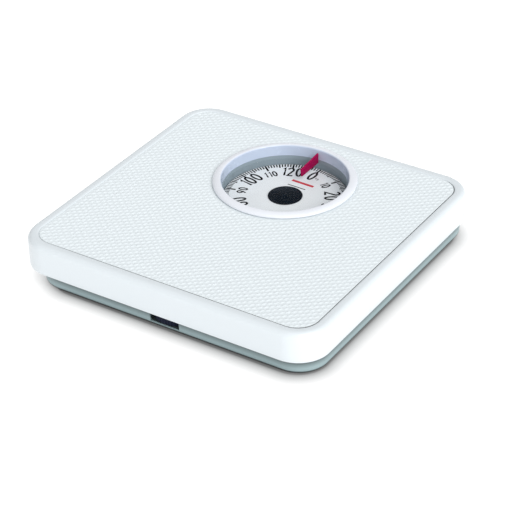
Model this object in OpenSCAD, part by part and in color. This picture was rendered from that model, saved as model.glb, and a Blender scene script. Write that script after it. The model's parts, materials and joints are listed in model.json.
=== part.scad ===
// Spring-type mechanical dial scale for weighing people.
// Origin: centre of the footprint, on the floor. +Z up, +Y towards the dial, -Y towards the zero wheel.
// Units: millimetres.

/* [Platform] */
// Width of the platform cover, left to right
platform_w = 300; // [290:1:310]
// Depth of the platform cover, front to back
platform_d = 286; // [276:1:296]
// Radius of the cover's corners seen from above
platform_corner_r = 29.4; // [26:0.2:34]
// Height of the cover's border above the floor
platform_z = 42.7; // [42.4:0.1:44]
// Height of the skirt's lower edge
skirt_z = 14.2; // [13:0.1:15]
// Radius of the rounded top edge
edge_r = 5; // [3:0.5:6]
// Thickness of the cover's and the tray's sheet steel
sheet_t = 1.2; // [1:0.1:1.4]

/* [Tread mat] */
// Width of the bare border around the mat
mat_inset = 9.7; // [7:0.1:12]
// Thickness of the mat
mat_t = 1.0; // [0.8:0.1:1.1]
// Gap between the mat and the edge of its recess
mat_gap = 0.4; // [0.2:0.1:0.6]

/* [Bezel and window] */
// Distance of the dial's centre behind the middle of the platform
dial_y = 58.8; // [57:0.2:60]
// Outer radius of the bezel
bezel_r = 65.5; // [65:0.5:68]
// Height of the bezel's crest above the platform
bezel_rise = 3.3; // [3:0.1:5]
// Radius of the bezel's inner wall
bezel_bore_r = 57.5; // [57.2:0.05:57.8]
// Height of the inner wall's lower edge
bezel_low_z = 34.9; // [33.8:0.1:35]
// Height of the window's upper face
window_z = 32; // [31.8:0.1:32.4]
// Thickness of the window
window_t = 1.6; // [1.2:0.1:1.6]

/* [Pointer] */
// Thickness of the pointer's blade
pointer_t = 1.4; // [1:0.1:2.5]
// Distance of the pointer's tip from the dial's centre
pointer_tip_r = 27; // [20:0.5:35]
// Height of the blade at its root
pointer_root_h = 10.2; // [9:0.1:12]
// Height of the blade at its tip
pointer_tip_h = 7.8; // [4:0.1:9]

/* [Dial] */
// Radius of the dial disc
disc_r = 56.5; // [54:0.5:57]
// Height of the disc's printed face
disc_z = 26.1; // [25.9:0.1:26.4]
// Thickness of the disc
disc_t = 1.0; // [0.8:0.1:1.2]
// Radius of the black centre cap
cap_r = 15.8; // [12:0.2:20]
// Height of the centre cap above the disc
cap_h = 2.8; // [1.5:0.1:3]
// Turn of the dial over its whole range, degrees
dial_turn = 336; // [320:1:340]

/* [Base] */
// Width of the tray at its upper edge
base_w = 285; // [283:0.2:286]
// Depth of the tray at its upper edge
base_d = 278.6; // [277:0.2:280]
// Radius of the tray's corners at its upper edge
base_r = 27.8; // [26:0.2:30]
// Distance of the tray's middle to the right of the platform's
base_x = 5.5; // [4.8:0.1:5.6]
// How much further in the tray's walls stand at the bottom
base_draft = 1.2; // [0.8:0.1:1.6]
// Height of the tray's underside
base_z = 1; // [0.8:0.1:1.4]
// Height of the tray wall's upper edge
base_top_z = 20; // [18:0.5:22]
// Radius of a rubber foot
foot_r = 11; // [8:0.5:13]
// Distance of the feet from the tray's middle, left and right
foot_x = 120; // [118:1:122]
// Distance of the feet from the tray's middle, front and back
foot_y = 95; // [92:1:98]

/* [Levers] */
// Distance of the fulcrums from the middle, left and right
fulcrum_x = 105; // [103:1:107]
// Distance of the fulcrums from the middle, front and back
fulcrum_y = 118; // [116:1:120]
// Height of the fulcrums
lever_z = 19; // [18.5:0.1:19.2]
// Distance from a fulcrum to its load pin
load_arm = 20; // [18:0.5:22]
// Distance of the long levers' tips from the middle, left and right
tip_x = 15; // [14.8:0.1:16]
// Width of a lever's channel
bar_w = 8; // [7:0.5:9]
// Height of a lever's channel
bar_h = 5; // [4.5:0.1:5]
// Thickness of a lever's sheet
bar_t = 1.2; // [1:0.1:1.5]
// Radius of the levers' pins
pin_r = 1.5; // [1.3:0.1:1.6]

/* [Main spring] */
// Distance of the spring in front of the middle
spring_y = 76; // [75:0.5:77]
// Mean radius of the coil
coil_r = 9; // [8.8:0.1:9.2]
// Radius of the spring's wire
wire_r = 1.25; // [1:0.05:1.25]
// Number of turns
coil_turns = 5.5; // [5:0.5:5.5]
// Travel of the calibrating plate at full load
plate_travel = 9; // [7:0.5:9]

/* [Indicator train] */
// Module of the rack and pinion
gear_module = 0.4; // [0.4:0.01:0.42]
// Teeth on the pinion
pinion_teeth = 14; // [14:1:14]
// Distance of the crank's pivot in front of the middle
crank_y = 49; // [48.5:0.1:49.5]
// Height of the crank's pivot
crank_z = 27.5; // [27.3:0.1:27.7]
// Length of the crank's hanging arm
crank_arm = 18; // [17.5:0.1:18.3]
// Lower face of the rack's bar
rack_z = 10; // [9.8:0.1:10.2]

/* [Zero adjuster] */
// Radius of the zero wheel
wheel_r = 20.8; // [20:0.1:21]
// Distance of the wheel's axis to the right of the middle
wheel_x = 3.8; // [3.5:0.1:5]
// Distance of the wheel's axis in front of the middle
wheel_y = 118; // [117.6:0.1:118.2]
// Height of the wheel's lower face
wheel_z = 5; // [4.8:0.1:5.4]
// Thickness of the wheel
wheel_h = 9; // [7:0.5:10]
// Width of the wheel's window in the tray
slot_w = 29.6; // [26:0.2:32]
// Height of the window's lower edge
slot_z = 3.3; // [3.2:0.1:4.6]

/* [Hidden] */

$fn = 64;
cut = 0.5;              // how far a cutting shape runs past the face it cuts
arc_steps = 10;         // straight steps in a quarter circle of an outline
fit = 0.08;             // radial clearance of a shaft in its bearing
seat = 0.02;            // radial clearance of a pin fixed in its own part
bearing_gap = 0.1;      // gap under a pin that presses on another lever

white = [0.95, 0.96, 0.96];
mat_white = [0.93, 0.95, 0.95];
tray_grey = [0.66, 0.72, 0.72];
steel = [0.72, 0.73, 0.74];
brass = [0.8, 0.68, 0.38];
black = [0.07, 0.08, 0.1];

floor_z = base_z + sheet_t;                     // inner face of the tray's floor
panel_z = platform_z - mat_t;                   // top of the panel under the mat
roof_z = panel_z - sheet_t;                     // underside of that panel
tube_r = bezel_bore_r + 2.05;                   // outside of the bezel's tube
stack_r = tube_r - 0.2;                         // outside of the window and its seal
pitch_r = gear_module * pinion_teeth / 2;
rack_travel = pitch_r * dial_turn * PI / 180;
half_swing = asin(rack_travel / 2 / crank_arm); // the crank swings this far each way
plate_arm = plate_travel / (2 * sin(half_swing));
plate_pin_y = -crank_y - plate_arm * cos(half_swing);
plate_pin_z = crank_z + plate_arm * sin(half_swing);
crank_pin_y = -crank_y - crank_arm * sin(half_swing);
crank_pin_z = crank_z - crank_arm * cos(half_swing);
link_r = 1.2;                                   // radius of the crank's and the plate's pins
shaft_r = 2;                                    // radius of the pivot shaft and adjusting screw
spindle_r = 1.5;                                // radius of the dial's shaft
tip_pin_z = lever_z - bar_h / 2 - 0.9;
plate_top_z = tip_pin_z - pin_r - bearing_gap;
plate_t = 2;
link_pin_z = lever_z + bar_h / 2 + pin_r + bearing_gap;
short_end_x = 68;                               // where a short lever meets its long lever
hanger_z = 30.8;                                // underside of the adjuster lever
hanger_t = 2.2;
hanger_x = 11.5;                                // inner face of the adjuster lever's arms
rack_back_x = pitch_r + 4.5;                    // plain edge of the rack
rack_root_x = pitch_r + 1.2 * gear_module;
rack_t = 2.5;
hook_x = 122;
hook_y = 40;
rack_spring_x = 12;

// ---- outlines ----

function arc(c, r, a0, a1, n = arc_steps) =
    [for (i = [0:n]) let (a = a0 + (a1 - a0) * i / n) c + [r.x * cos(a), r.y * sin(a)]];

module rounded_rect(w, d, r) {
    x = w / 2 - r;
    y = d / 2 - r;
    polygon(concat(
        arc([x, y], [r, r], 0, 90), arc([-x, y], [r, r], 90, 180),
        arc([-x, -y], [r, r], 180, 270), arc([x, -y], [r, r], 270, 360)));
}

// Carries a section around a rounded rectangle; the section's x starts at the corner's centre
module around_rect(w, d, r) {
    for (k = [0:3]) {
        across = k % 2 == 0 ? w : d;
        along = k % 2 == 0 ? d : w;
        rotate([0, 0, 90 * k]) {
            translate([across / 2 - r, 0, 0])
                rotate([90, 0, 0])
                    linear_extrude(along - 2 * r, center = true) children();
            translate([across / 2 - r, along / 2 - r, 0])
                rotate_extrude(angle = 90) children();
        }
    }
}

module ring(r_out, r_in, z0, z1) {
    translate([0, 0, z0])
        difference() {
            cylinder(r = r_out, h = z1 - z0);
            translate([0, 0, -cut]) cylinder(r = r_in, h = z1 - z0 + 2 * cut);
        }
}

module box(x, y, z) {
    translate([x[0], y[0], z[0]]) cube([x[1] - x[0], y[1] - y[0], z[1] - z[0]]);
}

// Rod along X through (y, z)
module x_rod(r, x, y, z) {
    translate([x[0], y, z]) rotate([0, 90, 0]) cylinder(r = r, h = x[1] - x[0], $fn = 32);
}

// Plate that stands across X, from an outline drawn in Y and Z
module x_plate(x, outline) {
    translate([x[0], 0, 0])
        rotate([90, 0, 90]) linear_extrude(x[1] - x[0]) polygon(outline);
}

module z_rod(r, x, y, z) {
    translate([x, y, z[0]]) cylinder(r = r, h = z[1] - z[0], $fn = 32);
}

module at_corner(sx, sy) {
    mirror([sx < 0 ? 1 : 0, 0, 0]) mirror([0, sy < 0 ? 1 : 0, 0]) children();
}

// ---- platform ----

module cover_section() {
    r = platform_corner_r;
    lip = r - mat_inset;
    join = lip - 2;
    polygon(concat(
        [[r, skirt_z]],
        arc([r - edge_r, platform_z - edge_r], [edge_r, edge_r], 0, 90),
        [[lip, platform_z], [lip, panel_z], [join, panel_z], [join, roof_z],
            [lip + sheet_t, roof_z], [lip + sheet_t, platform_z - sheet_t]],
        arc([r - edge_r, platform_z - edge_r], [edge_r - sheet_t, edge_r - sheet_t], 90, 0),
        [[r - sheet_t, skirt_z]]));
}

module platform_cover() {
    color(white) {
        around_rect(platform_w, platform_d, platform_corner_r) cover_section();
        translate([0, 0, roof_z])
            difference() {
                linear_extrude(sheet_t)
                    rounded_rect(platform_w - 2 * mat_inset - 2, platform_d - 2 * mat_inset - 2,
                        platform_corner_r - mat_inset - 1);
                translate([0, dial_y, -cut])
                    cylinder(r = tube_r + 0.8, h = sheet_t + 2 * cut, $fn = 96);
            }
    }
}

module tread_mat() {
    inset = mat_inset + mat_gap;
    color(mat_white)
        translate([0, 0, panel_z])
            difference() {
                linear_extrude(mat_t)
                    rounded_rect(platform_w - 2 * inset, platform_d - 2 * inset,
                        platform_corner_r - inset);
                translate([0, dial_y, -cut])
                    cylinder(r = tube_r + 1.2, h = mat_t + 2 * cut, $fn = 96);
            }
}

module dial_bezel() {
    nose_r = 1.6;
    crest_x = bezel_bore_r + nose_r;
    top = platform_z + bezel_rise;
    color(white)
        translate([0, dial_y, 0])
            rotate_extrude($fn = 96)
                polygon(concat(
                    [[bezel_bore_r, bezel_low_z]],
                    arc([crest_x, top - nose_r], [nose_r, nose_r], 180, 90, 6),
                    arc([crest_x, platform_z + 0.4],
                        [bezel_r - crest_x, bezel_rise - 0.4], 80, 0, 8),
                    [[bezel_r, platform_z], [tube_r, platform_z], [tube_r, bezel_low_z]]));
}

module window_seal() {
    color([0.4, 0.42, 0.44])
        translate([0, dial_y, 0]) ring(stack_r, bezel_bore_r + 0.05, window_z, bezel_low_z);
}

module dial_window() {
    color([0.85, 0.9, 0.92, 0.3])
        translate([0, dial_y, window_z - window_t]) cylinder(r = stack_r, h = window_t);
}

module pointer() {
    root_r = bezel_bore_r - 0.1;
    color([0.66, 0.05, 0.28])
        translate([0, dial_y, window_z])
            x_plate([-pointer_t / 2, pointer_t / 2],
                [[pointer_tip_r + 1.2, 0], [root_r, 0], [root_r - 0.1, pointer_root_h],
                    [pointer_tip_r, pointer_tip_h]]);
}

module dial_surround() {
    low = disc_z - 3.7;
    sleeve_r = tube_r + 0.05;
    color([0.42, 0.44, 0.46])
        translate([0, dial_y, 0]) {
            ring(tube_r + 1.5, bezel_bore_r + 0.05, low, window_z - window_t);
            ring(tube_r + 1.5, sleeve_r, window_z - window_t - 0.01, roof_z - 0.6);
        }
}

// Leg that carries the platform on a lever's load pin
module post() {
    y = fulcrum_y - load_arm;
    color(steel)
        difference() {
            union() {
                box([fulcrum_x - 9, fulcrum_x + 9], [y - 8, y + 8], [roof_z - 1.2, roof_z]);
                for (side = [-1, 1])
                    box([fulcrum_x + side * 6.5 - 1, fulcrum_x + side * 6.5 + 1],
                        [y - 5, y + 5], [lever_z - 0.6, roof_z - 1]);
            }
            x_rod(pin_r + bearing_gap, [fulcrum_x - 10, fulcrum_x + 10], y, lever_z);
        }
}

module post_front_left() at_corner(-1, -1) post();
module post_front_right() at_corner(1, -1) post();
module post_rear_left() at_corner(-1, 1) post();
module post_rear_right() at_corner(1, 1) post();

module platform_hooks() {
    color(steel)
        for (sx = [-1, 1], sy = [-1, 1])
            at_corner(sx, sy) {
                box([hook_x - 5, hook_x + 5], [hook_y - 4, hook_y + 4], [roof_z - 1.2, roof_z]);
                box([hook_x - 2.5, hook_x + 2.5], [hook_y - 1, hook_y + 1], [30, roof_z - 1]);
            }
}

// ---- base ----

module tray_section() {
    bend = 1.4;
    low_r = base_r - base_draft;
    join = base_r - 5;
    polygon(concat(
        [[base_r, base_top_z]],
        arc([low_r - bend, base_z + bend], [bend, bend], 0, -90, 5),
        [[join, base_z], [join, floor_z]],
        arc([low_r - bend, base_z + bend], [bend - sheet_t, bend - sheet_t], -90, 0, 3),
        [[base_r - sheet_t, base_top_z]]));
}

module base_tray() {
    color(tray_grey)
        difference() {
            translate([base_x, 0, 0]) {
                around_rect(base_w, base_d, base_r) tray_section();
                translate([0, 0, base_z])
                    linear_extrude(sheet_t) rounded_rect(base_w - 8, base_d - 8, base_r - 4);
            }
            box([wheel_x - slot_w / 2, wheel_x + slot_w / 2],
                [-base_d / 2 - 5, -base_d / 2 + 3.2], [slot_z, base_top_z - 2]);
            for (sx = [-1, 1], sy = [-1, 1])
                z_rod(4, base_x + sx * foot_x, sy * foot_y, [base_z - cut, floor_z + cut]);
        }
}

module foot(sx, sy) {
    x = base_x + sx * foot_x;
    color([0.16, 0.17, 0.18]) {
        z_rod(foot_r, x, sy * foot_y, [0, base_z]);
        z_rod(3.9, x, sy * foot_y, [base_z - 0.1, floor_z + 0.1]);
        z_rod(6, x, sy * foot_y, [floor_z, floor_z + 1]);
    }
}

module foot_front_left() foot(-1, -1);
module foot_front_right() foot(1, -1);
module foot_rear_left() foot(-1, 1);
module foot_rear_right() foot(1, 1);

// Bracket that holds a lever's fulcrum pin between two ears
module fulcrum() {
    color(steel)
        difference() {
            union() {
                box([fulcrum_x - 12, fulcrum_x + 12], [fulcrum_y - 7, fulcrum_y + 7],
                    [floor_z, floor_z + 1.2]);
                for (side = [-1, 1])
                    box([fulcrum_x + side * 6.5 - 1, fulcrum_x + side * 6.5 + 1],
                        [fulcrum_y - 5, fulcrum_y + 5], [floor_z + 1, lever_z + 4]);
            }
            x_rod(pin_r + fit, [fulcrum_x - 13, fulcrum_x + 13], fulcrum_y, lever_z);
            for (side = [-1, 1])
                z_rod(1.6, fulcrum_x + side * 9.7, fulcrum_y, [floor_z - cut, floor_z + 2]);
        }
}

module fulcrum_front_left() at_corner(-1, -1) fulcrum();
module fulcrum_front_right() at_corner(1, -1) fulcrum();
module fulcrum_rear_left() at_corner(-1, 1) fulcrum();
module fulcrum_rear_right() at_corner(1, 1) fulcrum();

module bracket_rivets() {
    color(steel)
        for (sx = [-1, 1], sy = [-1, 1], side = [-1, 1])
            at_corner(sx, sy)
                translate([fulcrum_x + side * 9.7, fulcrum_y, floor_z]) {
                    cylinder(r = 1.5, h = 1.3, $fn = 24);
                    translate([0, 0, 1.2]) cylinder(r = 2.1, h = 0.9, $fn = 24);
                }
}

module base_hooks() {
    color(steel)
        for (sx = [-1, 1], sy = [-1, 1])
            at_corner(sx, sy) {
                box([hook_x - 5, hook_x + 5], [hook_y - 4, hook_y + 4], [floor_z, floor_z + 1.2]);
                box([hook_x - 2.5, hook_x + 2.5], [hook_y - 1, hook_y + 1], [floor_z + 1, 9]);
            }
}

// Light tension springs that hold the platform down on its levers, drawn as plain tubes
module retaining_springs() {
    color(steel)
        for (sx = [-1, 1], sy = [-1, 1])
            translate([sx * hook_x, sy * hook_y, 0]) ring(3, 2.2, 9, 30);
}

// ---- levers ----

// Box of width w and height h along the line from a to b, at the levers' height
module along_line(a, b, w, z0, z1, grow = 0) {
    run = b - a;
    angle = atan2(run.y, run.x);
    translate([a.x, a.y, z0])
        rotate([0, 0, angle])
            translate([-grow, -w / 2, 0]) cube([norm(run) + 2 * grow, w, z1 - z0]);
}

lever_low = lever_z - bar_h / 2;
lever_high = lever_z + bar_h / 2;
heel_y = fulcrum_y - load_arm - 7;              // where a lever's straight heel ends
heel_end = fulcrum_y + 4;

// Channel with a straight heel over the bracket and a slanting arm to its tip
module lever_body(tip) {
    bend = [fulcrum_x, heel_y + 2];
    difference() {
        union() {
            box([fulcrum_x - bar_w / 2, fulcrum_x + bar_w / 2], [heel_y, heel_end],
                [lever_low, lever_high]);
            along_line(bend, tip, bar_w, lever_low, lever_high, 2);
            children();
        }
        box([fulcrum_x - bar_w / 2 + bar_t, fulcrum_x + bar_w / 2 - bar_t],
            [heel_y + bar_t, heel_end - bar_t], [lever_low - cut, lever_high - bar_t]);
        along_line(bend, tip, bar_w - 2 * bar_t, lever_low - cut, lever_high - bar_t, -6);
        for (y = [fulcrum_y, fulcrum_y - load_arm])
            x_rod(pin_r + seat, [fulcrum_x - 6, fulcrum_x + 6], y, lever_z);
    }
}

module long_lever() {
    color([0.62, 0.64, 0.62])
        difference() {
            lever_body([tip_x, -spring_y])
                box([tip_x - 4, tip_x + 4], [-spring_y - 4, -spring_y + 4],
                    [tip_pin_z - 1, lever_high]);
            x_rod(pin_r + seat, [tip_x - 5, tip_x + 5], -spring_y, tip_pin_z);
        }
}

// The short lever is drawn at the rear and mirrored to the front
module short_lever() {
    color([0.62, 0.64, 0.62])
        difference() {
            lever_body([short_end_x, 0])
                box([short_end_x - 4, short_end_x + 4], [-2.5, 3], [lever_z, link_pin_z + 2.4]);
            x_rod(pin_r + seat, [short_end_x - 5, short_end_x + 5], 0, link_pin_z);
        }
}

module heel_pins() {
    for (y = [fulcrum_y, fulcrum_y - load_arm])
        x_rod(pin_r, [fulcrum_x - 9, fulcrum_x + 9], y, lever_z);
}

module long_pins() {
    color(steel) {
        heel_pins();
        x_rod(pin_r, [tip_x - 4.3, tip_x + 5], -spring_y, tip_pin_z);
    }
}

module short_pins() {
    color(steel) {
        heel_pins();
        x_rod(pin_r, [short_end_x - 18, short_end_x + 5], 0, link_pin_z);
    }
}

module long_lever_left() at_corner(-1, 1) long_lever();
module long_lever_right() at_corner(1, 1) long_lever();
module short_lever_left() at_corner(-1, -1) short_lever();
module short_lever_right() at_corner(1, -1) short_lever();
module long_pins_left() at_corner(-1, 1) long_pins();
module long_pins_right() at_corner(1, 1) long_pins();
module short_pins_left() at_corner(-1, -1) short_pins();
module short_pins_right() at_corner(1, -1) short_pins();

// ---- spring and zero adjuster ----

module calibrating_plate() {
    back_y = -spring_y + 14;
    ear_x = [4, 6];
    color(steel)
        difference() {
            union() {
                box([-22, 22], [-spring_y - 14, back_y], [plate_top_z - plate_t, plate_top_z]);
                x_plate(ear_x,
                    [[back_y - 3.5, plate_top_z - 1], [back_y, plate_top_z - 1],
                        [back_y, plate_pin_z - 3], [plate_pin_y + 2.2, plate_pin_z - 2],
                        [plate_pin_y + 2.2, plate_pin_z + 2], [back_y - 3.5, plate_pin_z + 2]]);
            }
            z_rod(2.05, 0, -spring_y, [plate_top_z - 3, plate_top_z + 1]);
            x_rod(link_r + seat, [3, 7], plate_pin_y, plate_pin_z);
        }
}

module plate_pin() {
    color(steel) x_rod(link_r, [-3, 6.6], plate_pin_y, plate_pin_z);
}

module lower_spring_plug() {
    color(steel) {
        z_rod(coil_r - wire_r - 0.15, 0, -spring_y, [plate_top_z, plate_top_z + 4]);
        z_rod(2, 0, -spring_y, [plate_top_z - plate_t, plate_top_z + 0.1]);
    }
}

module upper_spring_plug() {
    color(steel) {
        z_rod(coil_r - wire_r - 0.15, 0, -spring_y, [hanger_z - 4.4, hanger_z - 0.6]);
        z_rod(2, 0, -spring_y, [hanger_z - 0.7, hanger_z + hanger_t + 1.9]);
    }
}

module hanger_nut() {
    z = hanger_z + hanger_t;
    color(steel)
        difference() {
            translate([0, -spring_y, z]) cylinder(r = 4, h = 1.6, $fn = 6);
            z_rod(2 + seat, 0, -spring_y, [z - cut, z + 3]);
        }
}

// Round wire wound along Z, from turn 0 at z0
module coil(r, wire, z0, turns, pitch, steps = 20, sides = 8) {
    n = round(turns * steps);
    rise = atan(pitch / (2 * PI * r));
    points = [for (i = [0:n], j = [0:sides - 1])
        let (a = 360 * i / steps, b = 360 * j / sides,
            out = wire * cos(b), up = wire * sin(b))
        [(r + out) * cos(a) + up * sin(rise) * sin(a),
            (r + out) * sin(a) - up * sin(rise) * cos(a),
            z0 + pitch * i / steps + up * cos(rise)]];
    faces = concat(
        [[for (j = [0:sides - 1]) j]],
        [[for (j = [0:sides - 1]) n * sides + sides - 1 - j]],
        [for (i = [0:n - 1], j = [0:sides - 1])
            let (k = (j + 1) % sides)
            [i * sides + j, (i + 1) * sides + j, (i + 1) * sides + k, i * sides + k]]);
    polyhedron(points, faces, convexity = 6);
}

module main_spring() {
    low = plate_top_z + wire_r + 0.15;
    high = hanger_z - wire_r - 0.2;
    color([0.55, 0.56, 0.58])
        translate([0, -spring_y, 0])
            coil(coil_r, wire_r, low, coil_turns, (high - low) / coil_turns);
}

module adjuster_lever() {
    high = hanger_z + hanger_t;
    front = -wheel_y - 6;
    color([0.7, 0.68, 0.6])
        difference() {
            union() {
                for (x = [[-hanger_x - 2, -hanger_x], [hanger_x, hanger_x + 2]])
                    x_plate(x,
                        [[4 - crank_y, crank_z - 2.5], [4 - crank_y, crank_z + 2.5],
                            [-1 - crank_y, high], [front, high], [front, hanger_z],
                            [-9 - crank_y, hanger_z], [-3 - crank_y, crank_z - 3.5]]);
                for (y = [-spring_y, -wheel_y])
                    box([-hanger_x - 1, hanger_x + 1], [y - 6, y + 6], [hanger_z, high]);
            }
            x_rod(shaft_r + fit, [-hanger_x - 3, hanger_x + 3], -crank_y, crank_z);
            z_rod(2.05, 0, -spring_y, [hanger_z - cut, high + cut]);
            z_rod(shaft_r + 0.25, wheel_x, -wheel_y, [hanger_z - cut, high + cut]);
        }
}

module zero_wheel() {
    ribs = 44;
    groove = 0.7;
    high = wheel_z + wheel_h;
    outline = [for (i = [0:4 * ribs - 1])
        let (a = 90 * i / ribs, r = wheel_r - (i % 4 < 2 ? 0 : groove))
        [r * cos(a), r * sin(a)]];
    color(black)
        translate([wheel_x, -wheel_y, 0])
            difference() {
                translate([0, 0, wheel_z]) linear_extrude(wheel_h) polygon(outline);
                ring(wheel_r - 3, 6, high - 5, high + cut);
                translate([0, 0, wheel_z - cut]) cylinder(r = shaft_r + seat, h = wheel_h + 1);
            }
}

module adjusting_screw() {
    color(steel) z_rod(shaft_r, wheel_x, -wheel_y, [floor_z + 0.3, 35]);
}

module wheel_bush() {
    color(brass)
        translate([wheel_x, -wheel_y, 0]) ring(5, shaft_r + fit, floor_z, wheel_z - 0.3);
}

// ---- crank and rack ----

module spring_bridge() {
    color(steel)
        difference() {
            union() {
                box([-25, 25], [-crank_y - 5, -crank_y + 9], [floor_z, floor_z + 1.5]);
                for (x = [[-19, -17], [17, 19]])
                    box(x, [-crank_y - 5, -crank_y + 5], [floor_z + 1, crank_z + 4.5]);
            }
            x_rod(shaft_r + fit, [-20, 20], -crank_y, crank_z);
            for (x = [-22, 22], y = [-2, 6])
                z_rod(1.6, x, y - crank_y, [floor_z - cut, floor_z + 3]);
        }
}

module pivot_shaft() {
    color(steel) x_rod(shaft_r, [-21, 21], -crank_y, crank_z);
}

module shaft_clips() {
    color([0.3, 0.3, 0.32])
        for (x = [-19.9, 19.1])
            difference() {
                x_rod(3.6, [x, x + 0.8], -crank_y, crank_z);
                x_rod(shaft_r + seat, [x - cut, x + 1.3], -crank_y, crank_z);
            }
}

// Bell crank, drawn with its arms level and upright and turned back to its rest position
module bell_crank() {
    reach = plate_arm + 1.9;
    slot = link_r + 0.2;
    color(steel)
        translate([0, -crank_y, crank_z])
            rotate([-half_swing, 0, 0])
                difference() {
                    union() {
                        x_rod(4.3, [-3.5, 3.5], 0, 0);
                        box([-2, 2], [-reach, 0], [-slot - 1.2, slot + 1.2]);
                        box([-2, 2], [-2.4, 2.4], [-crank_arm, 0]);
                        x_rod(2.9, [-2, 2], 0, -crank_arm);
                    }
                    x_rod(shaft_r + fit, [-5, 5], 0, 0);
                    box([-3, 3], [-reach - cut, -plate_arm + 3.2], [-slot, slot]);
                    x_rod(link_r + seat, [-3, 3], 0, -crank_arm);
                }
}

module crank_pin() {
    color(steel) x_rod(link_r, [-2, 7], crank_pin_y, crank_pin_z);
}

// Tooth form shared by the rack and the pinion: 25 degree flanks, thinned for backlash
flank = 25;
tooth_pitch = PI * gear_module;
tooth_w = tooth_pitch / 2 - 0.12;
rack_tip = 0.9 * gear_module;
rack_root = 1.2 * gear_module;
rack_front_y = crank_pin_y - 3.6;
rack_rear_y = dial_y + 6;
teeth_behind = 3;
teeth_ahead = ceil(rack_travel / tooth_pitch) + 3;

module rack_bar() {
    half_tip = tooth_w / 2 - rack_tip * tan(flank);
    half_root = tooth_w / 2 + rack_root * tan(flank);
    teeth = [for (i = [-teeth_ahead:teeth_behind])
        let (y = dial_y + (i + 0.5) * tooth_pitch)
        each [[rack_root_x, y - half_root], [pitch_r - rack_tip, y - half_tip],
            [pitch_r - rack_tip, y + half_tip], [rack_root_x, y + half_root]]];
    translate([0, 0, rack_z])
        linear_extrude(rack_t)
            polygon(concat(
                [[rack_root_x, rack_front_y]], teeth,
                [[rack_root_x, rack_rear_y], [rack_back_x, rack_rear_y],
                    [rack_back_x, rack_front_y]]));
}

module rack() {
    wide = link_r + 0.3;
    low = crank_z - crank_arm - wide;
    color(brass)
        difference() {
            union() {
                rack_bar();
                box([rack_root_x, rack_root_x + 2], [rack_front_y, crank_pin_y + 3.6],
                    [low - 1.6, crank_pin_z + wide + 1.6]);
                box([rack_back_x - 1, rack_spring_x + 2.5], [8, 10], [rack_z, rack_z + rack_t]);
            }
            box([rack_root_x - 1, rack_back_x + 1], [crank_pin_y - wide, crank_pin_y + wide],
                [low, crank_pin_z + wide]);
        }
}

module rack_guide() {
    near = rack_back_x + 0.2;
    color(steel) {
        box([near, near + 2], [dial_y - 6, dial_y + 6], [floor_z, rack_z + rack_t + 1.2]);
        box([near - 2.4, near + 1], [dial_y - 6, dial_y + 6],
            [rack_z + rack_t + 0.4, rack_z + rack_t + 1.2]);
        box([near + 1, near + 9], [dial_y - 6, dial_y + 6], [floor_z, floor_z + 1.2]);
    }
}

module rack_saddle() {
    color(steel) {
        for (x = [[rack_root_x - 1.6, rack_root_x - 0.4], [rack_back_x + 0.4, rack_back_x + 1.6]])
            box(x, [-4, 4], [floor_z, rack_z + rack_t]);
        box([rack_root_x - 1, rack_back_x + 1], [-4, 4], [floor_z, rack_z - 0.2]);
    }
}

// Light tension spring that takes up the rack's slack, drawn as a plain tube
module rack_spring() {
    color(steel)
        translate([rack_spring_x, 7.9, rack_z + rack_t / 2])
            rotate([90, 0, 0]) ring(2.2, 1.6, 0, 26.3);
}

module spring_post() {
    color(steel) z_rod(1.5, rack_spring_x, -20, [floor_z, rack_z + rack_t + 1.5]);
}

// ---- dial ----

module dial_disc() {
    color([0.94, 0.95, 0.96])
        translate([0, dial_y, 0]) ring(disc_r, 4.05, disc_z - disc_t, disc_z, $fn = 128);
}

module dial_hub() {
    color(steel)
        translate([0, dial_y, 0]) {
            ring(9, spindle_r + seat, disc_z - disc_t - 2.4, disc_z - disc_t);
            ring(4, spindle_r + seat, disc_z - disc_t - 0.1, disc_z + 0.5);
        }
}

module hub_cap() {
    rim = 1.1;
    color(black)
        translate([0, dial_y, disc_z])
            rotate_extrude($fn = 96)
                polygon(concat(
                    [[0, 0.9], [4.5, 0.9], [4.5, 0], [cap_r, 0]],
                    arc([cap_r - 1, rim - 0.6], [1, 0.8], 0, 60, 4),
                    [for (k = [6:-1:0])
                        let (x = cap_r * 0.93 * k / 7)
                        [x, cap_h - (cap_h - rim) * pow(x / cap_r, 2)]]));
}

module dial_shaft() {
    color(steel) z_rod(spindle_r, 0, dial_y, [floor_z + 0.3, disc_z + 0.4]);
}

function involute(a) = tan(a) * 180 / PI - a;

module pinion() {
    base_r = pitch_r * cos(flank);
    root_r = pitch_r - 1.2 * gear_module;
    tip_r = pitch_r + gear_module;
    half = tooth_w / 2 / pitch_r * 180 / PI;
    radii = [for (k = [0:4]) base_r + (tip_r - base_r) * k / 4];
    side = [for (r = radii) [r, half + involute(flank) - involute(acos(base_r / r))]];
    teeth = [for (i = [0:pinion_teeth - 1])
        let (c = 360 * i / pinion_teeth)
        each concat(
            [root_r * [cos(c - side[0][1]), sin(c - side[0][1])]],
            [for (s = side) s[0] * [cos(c - s[1]), sin(c - s[1])]],
            [for (k = [4:-1:0]) let (s = side[k]) s[0] * [cos(c + s[1]), sin(c + s[1])]],
            [root_r * [cos(c + side[0][1]), sin(c + side[0][1])]])];
    color(brass)
        translate([0, dial_y, rack_z - 0.8])
            difference() {
                linear_extrude(rack_t + 1.6) polygon(teeth);
                translate([0, 0, -cut]) cylinder(r = spindle_r + seat, h = rack_t + 3, $fn = 32);
            }
}

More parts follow.
